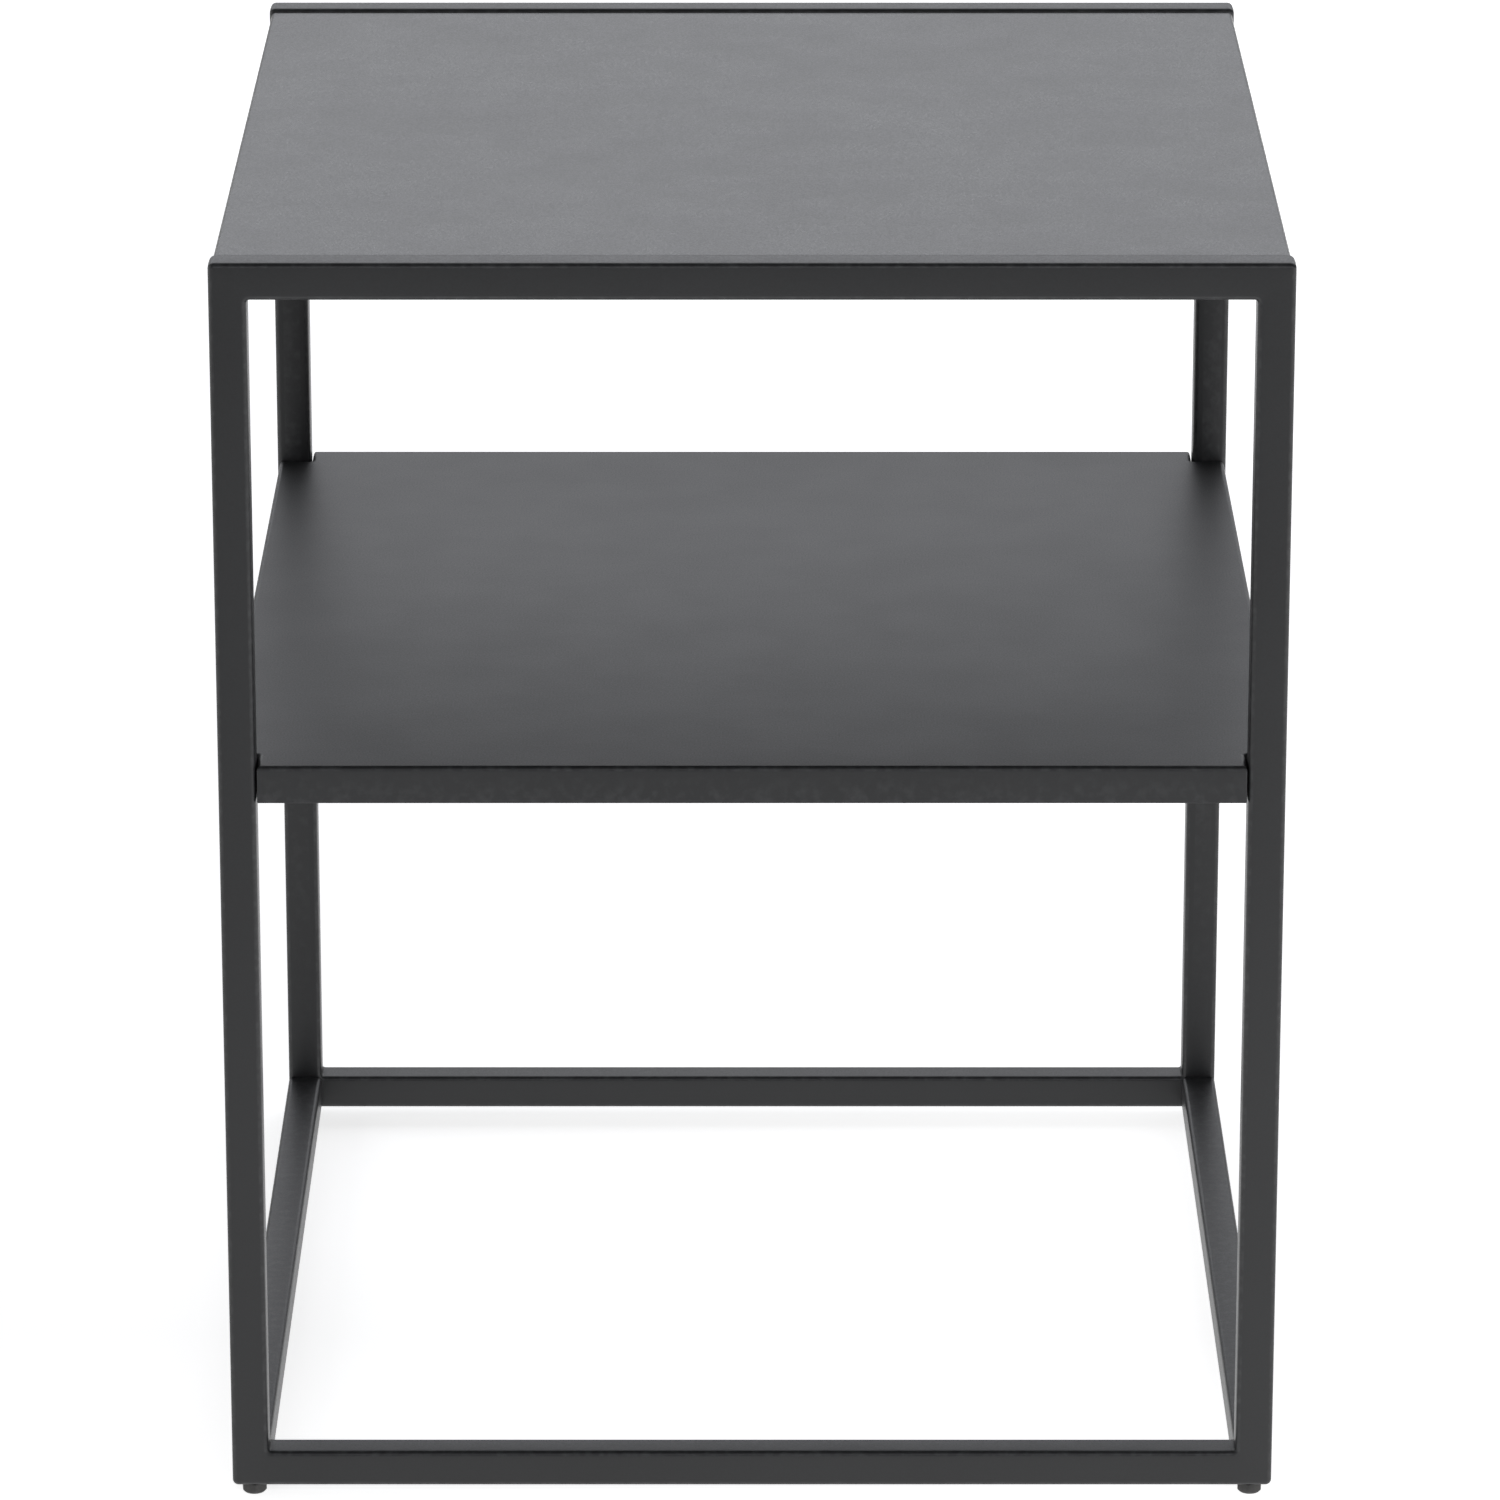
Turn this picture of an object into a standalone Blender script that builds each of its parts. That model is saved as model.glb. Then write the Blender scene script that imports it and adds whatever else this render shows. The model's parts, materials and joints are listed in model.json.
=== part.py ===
"""Square-tube side table with one shelf, on four screw-in levelling feet.

Two welded rectangular tube frames, front and back, are tied together by a folded sheet-steel top panel,
a folded sheet-steel shelf and two floor rails. Metres, +Z up. The table stands on z = 0, its front faces
-Y, and the middle of its plan is at x = y = 0.
"""

from math import cos, pi, sin, sqrt

import bmesh
import bpy
from mathutils import Vector

# ---------------------------------------------------------------- overall sizes
TABLE_WIDTH = 0.420  # outer side face to outer side face
TABLE_DEPTH = 0.450  # front face to back face
FRAME_HEIGHT = 0.510  # underside of the floor rails to the top of the top rails
SHELF_HEIGHT = 0.306  # underside of the floor rails to the shelf's surface

# ---------------------------------------------------------------- square tube and sheet
TUBE = 0.015
TUBE_WALL = 0.0012
TUBE_RADIUS = 0.0020  # outer edge rounding
SHEET = 0.0012
PAN_DEPTH = 0.015  # folded lip of both panels
BEND_RADIUS = 0.0020  # outer radius of the sheet's folds
PAN_CORNER = 0.0006  # rounding of a panel's corners in plan
SHARPEST = 0.0002  # least rounding left where an outline is moved inwards

# ---------------------------------------------------------------- fits
FIT_GAP = 0.0003  # between two pieces that touch
PAN_INSET = 0.0012  # panel edge behind the legs' outer side faces
PAN_GAP = 0.0010  # panel to tube face, where the rivet nuts' flanges sit
NOTCH_GAP = 0.0004  # shelf to the legs' inner side faces
TOP_DROP = 0.0012  # top panel below the top of the rails

# ---------------------------------------------------------------- screws and rivet nuts
SCREW_DIAMETER = 0.004
SCREW_LENGTH = 0.010
HEAD_DIAMETER = 0.0076
HEAD_HEIGHT = 0.0022
HEAD_RIM = 0.0004
HEAD_FLAT = 0.0042  # flat top of the domed head
SOCKET_WIDTH = 0.0025  # across flats
SOCKET_DEPTH = 0.0013
HEAD_ROOM = 0.0010  # beside the head of a shelf screw
NUT_DIAMETER = 0.006
NUT_LENGTH = 0.009
NUT_FLANGE = 0.0085
NUT_FLANGE_THICKNESS = 0.0004
NUT_BULGE = 0.0072  # where the nut has been set behind the tube's wall
NUT_BULGE_LENGTH = 0.0020
TOP_SCREW_INSET = 0.060  # top panel's screws from the outer side faces

# ---------------------------------------------------------------- floor-rail spigots
SPIGOT_LENGTH = 0.028
SPIGOT_SCREW = 0.014  # screw's distance from the frame
SOLID_BEVEL = 0.0005

# ---------------------------------------------------------------- levelling feet
GLIDE_WIDTH = 0.0095  # across the flats of the moulded head
GLIDE_HEIGHT = 0.0045
GLIDE_CHAMFER = 0.0009
GLIDE_SHOULDER = 0.0002  # how far the chamfered corners stand past the flats
STUD_DIAMETER = 0.006
STUD_LENGTH = 0.020  # above the glide
STUD_EMBED = 0.0027  # inside the glide
STUD_CHAMFER = 0.0006
FOOT_OFFSET = 0.0011  # foot's axis inwards from the leg's
FOOT_BLOCK_HEIGHT = 0.008
FOOT_TURN = {"front_left": 7.5, "front_right": -5.0, "back_left": 21.0, "back_right": -16.0}  # degrees

# ---------------------------------------------------------------- derived places
FRAME_BASE = GLIDE_HEIGHT + FIT_GAP
FRAME_TOP = FRAME_BASE + FRAME_HEIGHT
SHELF_TOP = FRAME_BASE + SHELF_HEIGHT
PANEL_TOP = FRAME_TOP - TOP_DROP
BORE = TUBE - 2 * TUBE_WALL  # inner width of the tube
PLUG = BORE - 2 * FIT_GAP  # what slides into the tube
LEG_X = (TABLE_WIDTH - TUBE) / 2
FRAME_Y = (TABLE_DEPTH - TUBE) / 2
INNER_Y = TABLE_DEPTH / 2 - TUBE  # the frames' faces that look at each other
PAN_HALF_WIDTH = TABLE_WIDTH / 2 - PAN_INSET
SHELF_SCREW_X = PAN_HALF_WIDTH - SHEET - HEAD_ROOM - HEAD_DIAMETER / 2
TOP_SCREW_X = TABLE_WIDTH / 2 - TOP_SCREW_INSET
BELOW_FOLD = PANEL_TOP - BEND_RADIUS - HEAD_DIAMETER / 2  # highest place for a screw in the top's lip
TOP_SCREW_Z = min(FRAME_TOP - TUBE / 2, BELOW_FOLD)
SHELF_SCREW_Z = SHELF_TOP - PAN_DEPTH / 2

SIDES = (("left", -1), ("right", 1))
ENDS = (("front", -1), ("back", 1))
ARC_STEPS = 4
ROUND_SEGMENTS = 24
CREASE_ANGLE = pi / 5  # edges that turn more than this are shaded sharp


# ---------------------------------------------------------------- scene helpers
def clear_scene():
    """Remove every object that the file opened with."""
    for item in list(bpy.data.objects):
        bpy.data.objects.remove(item, do_unlink=True)


def make_material(name, colour, roughness, metallic):
    """A plain Principled material."""
    material = bpy.data.materials.new(name)
    material.use_nodes = True
    shader = material.node_tree.nodes["Principled BSDF"]
    shader.inputs["Base Color"].default_value = (*colour, 1.0)
    shader.inputs["Roughness"].default_value = roughness
    shader.inputs["Metallic"].default_value = metallic
    material.diffuse_color = (*colour, 1.0)
    return material


def finish_mesh(bm, name, material):
    """Turn a bmesh into a mesh with outward faces, smooth where it is round."""
    bmesh.ops.recalc_face_normals(bm, faces=bm.faces)
    mesh = bpy.data.meshes.new(name)
    bm.to_mesh(mesh)
    bm.free()
    mesh.shade_smooth()
    mesh.set_sharp_from_angle(angle=CREASE_ANGLE)
    if material:
        mesh.materials.append(material)
    return mesh


def add_object(name, mesh, location, rotation=(0.0, 0.0, 0.0)):
    """Link one named piece into the scene."""
    item = bpy.data.objects.new(name, mesh)
    item.location = location
    item.rotation_euler = rotation
    bpy.context.scene.collection.objects.link(item)
    return item


def facing(direction):
    """Rotation that points a piece's own +Z along a direction."""
    return Vector(direction).to_track_quat("Z", "Y").to_euler()


# ---------------------------------------------------------------- shapes
def loft(bm, rings, looped):
    """Skin rings of equal point counts in order, and cap the ends or join them."""
    loops = [[bm.verts.new(point) for point in ring] for ring in rings]
    pairs = list(zip(loops, loops[1:]))
    if looped:
        pairs.append((loops[-1], loops[0]))
    else:
        bm.faces.new(loops[0])
        bm.faces.new(reversed(loops[-1]))
    for near, far in pairs:
        for i in range(len(near)):
            bm.faces.new((near[i], near[i - 1], far[i - 1], far[i]))


def rounded_outline(corners, radius, inset):
    """Right-angled outline, counter-clockwise, moved inwards by inset, with its corners rounded."""
    points = []
    count = len(corners)
    for i, corner in enumerate(corners):
        here = Vector(corner)
        before = (here - Vector(corners[i - 1])).normalized()
        after = (Vector(corners[(i + 1) % count]) - here).normalized()
        turn = 1 if before.cross(after) > 0 else -1
        normal_in = Vector((-before.y, before.x))
        normal_out = Vector((-after.y, after.x))
        reach = radius - turn * inset
        if turn > 0:
            reach = max(reach, SHARPEST)
        centre = here + (turn * reach + inset) * (normal_in + normal_out)
        for step in range(ARC_STEPS + 1):
            angle = step * pi / 2 / ARC_STEPS
            points.append(centre - turn * reach * (normal_in * cos(angle) + normal_out * sin(angle)))
    return points


def square_corners(side):
    """Corners of a square, counter-clockwise."""
    half = side / 2
    return [(half, -half), (half, half), (-half, half), (-half, -half)]


def tube_mesh(name, length, material, mitred):
    """Square tube along Z. A mitred one is longest on its -X side."""
    cut_back = FIT_GAP / sqrt(2) if mitred else 0.0
    rings = []
    for side, radius, ends in ((TUBE, TUBE_RADIUS, (-1, 1)), (BORE, TUBE_RADIUS - TUBE_WALL, (1, -1))):
        outline = rounded_outline(square_corners(side), radius, 0.0)
        for end in ends:
            ring = []
            for point in outline:
                slope = point.x + TUBE / 2 if mitred else 0.0
                ring.append((point.x, point.y, end * (length / 2 - slope - cut_back)))
            rings.append(ring)
    bm = bmesh.new()
    loft(bm, rings, looped=True)
    return finish_mesh(bm, name, material)


def pan_mesh(name, corners, material):
    """Shallow folded pan, open underneath, with its upper surface at z = 0."""
    inner_bend = BEND_RADIUS - SHEET
    profile = [(0.0, -PAN_DEPTH)]
    angles = [step * pi / 2 / ARC_STEPS for step in range(ARC_STEPS + 1)]
    for angle in angles:
        profile.append((BEND_RADIUS * (1 - cos(angle)), BEND_RADIUS * (sin(angle) - 1)))
    profile.reverse()
    profile.append((SHEET, -PAN_DEPTH))
    for angle in angles:
        profile.append((BEND_RADIUS - inner_bend * cos(angle), inner_bend * sin(angle) - BEND_RADIUS))
    rings = []
    for inset, height in profile:
        outline = rounded_outline(corners, PAN_CORNER, inset)
        rings.append([(point.x, point.y, height) for point in outline])
    bm = bmesh.new()
    loft(bm, rings, looped=False)
    return finish_mesh(bm, name, material)


def hexagon(width):
    """Radius of a hexagon at an angle, from its width across flats."""
    return lambda angle: width / 2 / cos((angle + pi / 6) % (pi / 3) - pi / 6)


def chamfered_hexagon(width, limit):
    """Radius of a hexagon turned down to a circle of radius limit."""
    return lambda angle: min(hexagon(width)(angle), limit)


def turned_mesh(name, profile, material, bored=False):
    """Turned piece about Z. Each profile entry is a radius, or a radius by angle, and a height."""
    rings = []
    for radius, height in profile:
        ring = []
        for i in range(ROUND_SEGMENTS):
            angle = 2 * pi * i / ROUND_SEGMENTS
            reach = radius(angle) if callable(radius) else radius
            ring.append((reach * cos(angle), reach * sin(angle), height))
        rings.append(ring)
    bm = bmesh.new()
    loft(bm, rings, looped=bored)
    return finish_mesh(bm, name, material)


def block_mesh(name, size_x, size_y, size_z, material):
    """Plain block with bevelled edges, centred on its origin."""
    bm = bmesh.new()
    bmesh.ops.create_cube(bm, size=1.0)
    bmesh.ops.scale(bm, vec=(size_x, size_y, size_z), verts=bm.verts)
    bmesh.ops.bevel(bm, geom=bm.edges, offset=SOLID_BEVEL, segments=2, profile=0.5, affect="EDGES")
    return finish_mesh(bm, name, material)


def drill(piece, name, diameter, depth, location, direction):
    """Cut a round hole through a piece, centred on location and running along direction."""
    radius = diameter / 2
    mesh = turned_mesh(name, [(radius, -depth / 2), (radius, depth / 2)], None)
    cutter = add_object(name, mesh, location, facing(direction))
    cutter.hide_render = True
    cutter.display_type = "WIRE"
    cut = piece.modifiers.new(name, "BOOLEAN")
    cut.operation = "DIFFERENCE"
    cut.solver = "EXACT"
    cut.object = cutter


# ---------------------------------------------------------------- shared fastener meshes
def screw_mesh(material):
    """Button-head socket screw. Its head's underside is at z = 0 and its shank runs down."""
    shank = SCREW_DIAMETER / 2
    dome = (HEAD_DIAMETER - HEAD_FLAT) / 2
    profile = [(shank - FIT_GAP, -SCREW_LENGTH), (shank, FIT_GAP - SCREW_LENGTH), (shank, 0.0)]
    profile.append((HEAD_DIAMETER / 2, 0.0))
    for step in range(ARC_STEPS + 1):
        angle = step * pi / 2 / ARC_STEPS
        rise = (HEAD_HEIGHT - HEAD_RIM) * sin(angle)
        profile.append((HEAD_FLAT / 2 + dome * cos(angle), HEAD_RIM + rise))
    profile.append((hexagon(SOCKET_WIDTH), HEAD_HEIGHT))
    profile.append((hexagon(SOCKET_WIDTH), HEAD_HEIGHT - SOCKET_DEPTH))
    return turned_mesh("screw", profile, material)


def rivet_nut_mesh(material):
    """Rivet nut set in a tube's wall. The tube's face is at z = 0 and the flange is above it."""
    flange_top = FIT_GAP + NUT_FLANGE_THICKNESS
    bulge_top = -TUBE_WALL - FIT_GAP
    bulge_bottom = bulge_top - NUT_BULGE_LENGTH
    bore = SCREW_DIAMETER / 2 + FIT_GAP
    profile = [
        (bore, flange_top),
        (NUT_FLANGE / 2, flange_top),
        (NUT_FLANGE / 2, FIT_GAP),
        (NUT_DIAMETER / 2, FIT_GAP),
        (NUT_DIAMETER / 2, bulge_top),
        (NUT_BULGE / 2, bulge_top - FIT_GAP),
        (NUT_BULGE / 2, bulge_bottom + FIT_GAP),
        (NUT_DIAMETER / 2, bulge_bottom),
        (NUT_DIAMETER / 2, FIT_GAP - NUT_LENGTH),
        (bore, FIT_GAP - NUT_LENGTH),
    ]
    return turned_mesh("rivet_nut", profile, material, bored=True)


# ---------------------------------------------------------------- sub-parts
def build_frame(end, side_y, material):
    """One welded rectangle: two legs, a top rail and a bottom rail, mitred at the corners."""
    y = side_y * FRAME_Y
    middle = FRAME_BASE + FRAME_HEIGHT / 2
    pieces = {}
    leg = tube_mesh(f"{end}_leg", FRAME_HEIGHT, material, mitred=True)
    for side, side_x in SIDES:
        turn = (0.0, 0.0, pi if side_x > 0 else 0.0)
        pieces[side] = add_object(f"{end}_{side}_leg", leg, (side_x * LEG_X, y, middle), turn)
    rail = tube_mesh(f"{end}_rail", TABLE_WIDTH, material, mitred=True)
    top = (0.0, y, FRAME_TOP - TUBE / 2)
    pieces["top"] = add_object(f"{end}_top_rail", rail, top, (0.0, pi / 2, 0.0))
    bottom = (0.0, y, FRAME_BASE + TUBE / 2)
    pieces["bottom"] = add_object(f"{end}_bottom_rail", rail, bottom, (0.0, -pi / 2, 0.0))
    return pieces


def build_floor_rail(side, side_x, material):
    """Floor rail between the two frames."""
    mesh = tube_mesh(f"{side}_side_rail", 2 * (INNER_Y - FIT_GAP), material, mitred=False)
    location = (side_x * LEG_X, 0.0, FRAME_BASE + TUBE / 2)
    return add_object(f"{side}_side_rail", mesh, location, (pi / 2, 0.0, 0.0))


def build_top_panel(material):
    """Folded top between the top rails."""
    half_x = PAN_HALF_WIDTH
    half_y = INNER_Y - PAN_GAP
    corners = [(half_x, -half_y), (half_x, half_y), (-half_x, half_y), (-half_x, -half_y)]
    return add_object("top_panel", pan_mesh("top_panel", corners, material), (0.0, 0.0, PANEL_TOP))


def build_shelf(material):
    """Folded shelf, notched around the four legs and flush with the front and back of the frames."""
    wide_x = PAN_HALF_WIDTH
    wide_y = INNER_Y - PAN_GAP
    tongue_x = TABLE_WIDTH / 2 - TUBE - NOTCH_GAP
    tongue_y = TABLE_DEPTH / 2
    quarter = [(wide_x, wide_y), (tongue_x, wide_y), (tongue_x, tongue_y)]
    mirrored = [(-x, y) for x, y in reversed(quarter)]
    corners = quarter + mirrored
    corners += [(-x, -y) for x, y in corners]
    return add_object("shelf_panel", pan_mesh("shelf_panel", corners, material), (0.0, 0.0, SHELF_TOP))


def fix_panel(panel, label, place, height, tubes, side_y, meshes):
    """Screw one panel's folded lip to a rivet nut in each tube of one frame."""
    outward = (0.0, -side_y, 0.0)
    face_y = side_y * INNER_Y
    head_y = side_y * (INNER_Y - PAN_GAP - SHEET - FIT_GAP)
    end = "front" if side_y < 0 else "back"
    for side, side_x in SIDES:
        x = side_x * place
        tag = f"{label}_{end}_{side}"
        drill(tubes[side], f"hole_nut_{tag}", NUT_DIAMETER + 2 * FIT_GAP, TUBE, (x, face_y, height), outward)
        drill(panel, f"hole_screw_{tag}", SCREW_DIAMETER + 2 * FIT_GAP, TUBE, (x, face_y, height), outward)
        add_object(f"{tag}_rivet_nut", meshes["nut"], (x, face_y, height), facing(outward))
        add_object(f"{tag}_screw", meshes["screw"], (x, head_y, height), facing(outward))


def build_spigot(side, side_x, end, side_y, rail, meshes, material):
    """Solid spigot welded to a frame's corner, inside the floor rail, with its screw from below."""
    tag = f"{end}_{side}"
    x = side_x * LEG_X
    y = side_y * (INNER_Y - FIT_GAP - SPIGOT_LENGTH / 2)
    z = FRAME_BASE + TUBE / 2
    screw_y = side_y * (INNER_Y - SPIGOT_SCREW)
    mesh = block_mesh(f"{tag}_spigot", PLUG, SPIGOT_LENGTH, PLUG, material)
    spigot = add_object(f"{tag}_spigot", mesh, (x, y, z))
    clearance = SCREW_DIAMETER + 2 * FIT_GAP
    up = (0.0, 0.0, 1.0)
    drill(spigot, f"hole_spigot_{tag}", clearance, 2 * TUBE, (x, screw_y, z), up)
    drill(rail, f"hole_rail_{tag}", clearance, TUBE, (x, screw_y, FRAME_BASE), up)
    down = facing((0.0, 0.0, -1.0))
    add_object(f"{tag}_rail_screw", meshes["screw"], (x, screw_y, FRAME_BASE - FIT_GAP), down)


def build_foot(side, side_x, end, side_y, rail, materials):
    """Levelling foot: threaded block in the rail's corner, steel stud and moulded hexagon glide."""
    tag = f"{end}_{side}"
    x = side_x * (LEG_X - FOOT_OFFSET)
    y = side_y * FRAME_Y
    up = (0.0, 0.0, 1.0)
    clearance = STUD_DIAMETER + 2 * FIT_GAP

    block = block_mesh(f"{tag}_foot_block", PLUG, PLUG, FOOT_BLOCK_HEIGHT, materials["steel"])
    block_z = FRAME_BASE + TUBE_WALL + FIT_GAP + FOOT_BLOCK_HEIGHT / 2
    nut = add_object(f"{tag}_foot_block", block, (x, y, block_z))
    drill(nut, f"hole_block_{tag}", clearance, TUBE, (x, y, block_z), up)
    drill(rail, f"hole_foot_{tag}", clearance, TUBE, (x, y, FRAME_BASE), up)

    width = GLIDE_WIDTH
    socket_floor = GLIDE_HEIGHT - STUD_EMBED - FIT_GAP
    glide = turned_mesh(f"{tag}_foot_glide", [
        (chamfered_hexagon(width, width / 2 - GLIDE_CHAMFER), 0.0),
        (chamfered_hexagon(width, width / 2 + GLIDE_SHOULDER), GLIDE_CHAMFER),
        (hexagon(width), 2 * GLIDE_CHAMFER),
        (hexagon(width), GLIDE_HEIGHT),
        (clearance / 2, GLIDE_HEIGHT),
        (clearance / 2, socket_floor),
    ], materials["nylon"])
    foot = add_object(f"{tag}_foot_glide", glide, (x, y, 0.0), (0.0, 0.0, FOOT_TURN[tag] * pi / 180))

    stud = turned_mesh(f"{tag}_foot_stud", [
        (STUD_DIAMETER / 2, GLIDE_HEIGHT - STUD_EMBED),
        (STUD_DIAMETER / 2, GLIDE_HEIGHT + STUD_LENGTH - STUD_CHAMFER),
        (STUD_DIAMETER / 2 - STUD_CHAMFER, GLIDE_HEIGHT + STUD_LENGTH),
    ], materials["zinc"])
    pin = add_object(f"{tag}_foot_stud", stud, (0.0, 0.0, 0.0))
    pin.parent = foot


def main():
    """Build every piece of the table."""
    clear_scene()
    coat = make_material("charcoal_powder_coat", (0.050, 0.051, 0.053), 0.42, 0.0)
    materials = {
        "steel": make_material("plain_steel", (0.36, 0.36, 0.37), 0.45, 1.0),
        "zinc": make_material("zinc_plate", (0.62, 0.62, 0.60), 0.32, 1.0),
        "nylon": make_material("black_nylon", (0.045, 0.043, 0.042), 0.55, 0.0),
    }
    black_zinc = make_material("black_zinc", (0.06, 0.06, 0.065), 0.40, 0.8)
    meshes = {"screw": screw_mesh(black_zinc), "nut": rivet_nut_mesh(materials["zinc"])}

    top_panel = build_top_panel(coat)
    shelf = build_shelf(coat)
    rails = {side: build_floor_rail(side, side_x, coat) for side, side_x in SIDES}
    for end, side_y in ENDS:
        frame = build_frame(end, side_y, coat)
        both_tops = {side: frame["top"] for side, _ in SIDES}
        fix_panel(top_panel, "top", TOP_SCREW_X, TOP_SCREW_Z, both_tops, side_y, meshes)
        fix_panel(shelf, "shelf", SHELF_SCREW_X, SHELF_SCREW_Z, frame, side_y, meshes)
        for side, side_x in SIDES:
            build_spigot(side, side_x, end, side_y, rails[side], meshes, coat)
            build_foot(side, side_x, end, side_y, frame["bottom"], materials)


main()
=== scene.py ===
"""Finished surfaces of a square-tube side table with one shelf, on four levelling feet.

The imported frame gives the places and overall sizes. Each operator makes one kind of piece around it: the
two welded tube frames, the floor rails, the folded top and shelf, the fasteners and the feet. Sizes are in
metres, with +Z up and the front at -Y.
"""

import json
from math import atan2, cos, inf, pi, radians, sin

import bmesh
import bpy
from bpy.props import FloatProperty, FloatVectorProperty, IntProperty, PointerProperty
from mathutils import Matrix, Vector, noise

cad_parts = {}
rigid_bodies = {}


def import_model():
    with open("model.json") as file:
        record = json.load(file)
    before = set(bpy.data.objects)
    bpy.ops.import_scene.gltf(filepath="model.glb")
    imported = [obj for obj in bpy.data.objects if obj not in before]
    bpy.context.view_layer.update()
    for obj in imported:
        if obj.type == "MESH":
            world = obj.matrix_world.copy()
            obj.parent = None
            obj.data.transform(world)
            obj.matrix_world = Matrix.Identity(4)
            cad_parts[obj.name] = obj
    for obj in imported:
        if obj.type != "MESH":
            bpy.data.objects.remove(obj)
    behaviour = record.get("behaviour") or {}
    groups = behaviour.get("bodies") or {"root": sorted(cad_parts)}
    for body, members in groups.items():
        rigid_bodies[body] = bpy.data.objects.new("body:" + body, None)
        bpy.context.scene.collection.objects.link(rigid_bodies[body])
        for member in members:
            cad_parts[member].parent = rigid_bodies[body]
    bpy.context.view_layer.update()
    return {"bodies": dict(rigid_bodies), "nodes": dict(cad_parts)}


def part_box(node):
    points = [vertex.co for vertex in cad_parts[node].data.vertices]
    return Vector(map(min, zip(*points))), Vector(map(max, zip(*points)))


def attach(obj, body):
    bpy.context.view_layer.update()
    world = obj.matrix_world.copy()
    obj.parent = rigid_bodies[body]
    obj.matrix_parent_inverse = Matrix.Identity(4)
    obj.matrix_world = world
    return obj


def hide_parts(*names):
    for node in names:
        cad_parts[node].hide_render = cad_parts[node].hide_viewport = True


bl_info = {
    "name": "Square-tube side table",
    "version": (1, 0, 0),
    "blender": (4, 5, 0),
    "location": "3D View > Sidebar > Side table",
    "description": "Builds the finished surfaces of a powder-coated side table around its packed frame",
    "category": "Object",
}

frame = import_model()

TABLE = "table_frame"
ENDS = {"front": -1, "back": 1}
SIDES = {"left": -1, "right": 1}
CORNERS = [f"{end}_{side}" for end in ENDS for side in SIDES]
LEG_LOW, LEG_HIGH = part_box("front_left_leg")
TUBE = LEG_HIGH.y - LEG_LOW.y
SHARPEST = 0.0002  # least rounding left where an outline is moved inwards
FLAT_POINTS = 5  # across each face of a tube, between its rounded edges
FOLD_STEPS = 8  # facets around each fold and corner of a panel
DRILL_SEGMENTS = 40
TURNED_SEGMENTS = 48  # around a screw, a nut or a stud
GLIDE_SEGMENTS = 72
THREAD_DEPTH = 0.58  # of the pitch
THREAD_ROWS = 8  # in each turn of a thread
CREASE = radians(32)  # edges that turn more than this stay crisp
DOME_STEPS = 10  # from a screw head's rim to its flat
BREAK = 0.0001  # taken off the sharp edges of turned pieces
CHAMFER = 0.0002  # at the mouths of bores and the ends of turned pieces
TUBE_EDGE_PALING = (1.005, 1.009)  # sharpness of an edge where the paler edge colour starts, and where it is complete; that colour is partly wearing of the coat, partly a painted highlight
SHEET_EDGE_PALING = (1.0025, 1.0045)


# ---------------------------------------------------------------- settings
class TubeSettings(bpy.types.PropertyGroup):
    """Square tube of the frames and floor rails"""

    wall: FloatProperty(
        name="Wall", description="Thickness of the tube's wall", default=0.0012, unit="LENGTH", precision=4
    )
    edge: FloatProperty(
        name="Edge radius", description="Rounding of the tube's long edges", default=0.002, unit="LENGTH",
        precision=4,
    )
    corner: FloatProperty(
        name="Ground corner", description="Rounding of a frame's outer corners, where the weld is ground",
        default=0.0025, unit="LENGTH", precision=4,
    )
    fillet: FloatProperty(
        name="Weld fillet", description="Radius of the weld in a frame's inner corners", default=0.001,
        unit="LENGTH", precision=4,
    )
    crown: FloatProperty(
        name="Crown", description="How far the tube's faces swell between their edges", default=0.00012,
        unit="LENGTH", precision=5,
    )
    steps: IntProperty(name="Edge steps", description="Facets around each rounded edge", default=6, min=2)


class SheetSettings(bpy.types.PropertyGroup):
    """Folded sheet of the top and the shelf"""

    thickness: FloatProperty(
        name="Sheet", description="Thickness of the sheet", default=0.0012, unit="LENGTH", precision=4
    )
    bend: FloatProperty(
        name="Bend radius", description="Outer radius of the folds", default=0.002, unit="LENGTH", precision=4
    )
    corner: FloatProperty(
        name="Corner radius", description="Rounding of a panel's corners in plan", default=0.0006,
        unit="LENGTH", precision=4,
    )
    notch_gap: FloatProperty(
        name="Notch gap", description="Space between the shelf and the legs' inner faces", default=0.0004,
        unit="LENGTH", precision=4,
    )
    wave: FloatProperty(
        name="Waviness", description="How far the sheet strays from flat between its folds", default=0.00008,
        unit="LENGTH", precision=5,
    )
    wave_length: FloatProperty(
        name="Wave length", description="Distance over which the sheet rises and falls", default=0.13,
        unit="LENGTH",
    )
    cell: FloatProperty(
        name="Mesh cell", description="Spacing of the points across a panel", default=0.018, unit="LENGTH",
        precision=3,
    )


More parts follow.
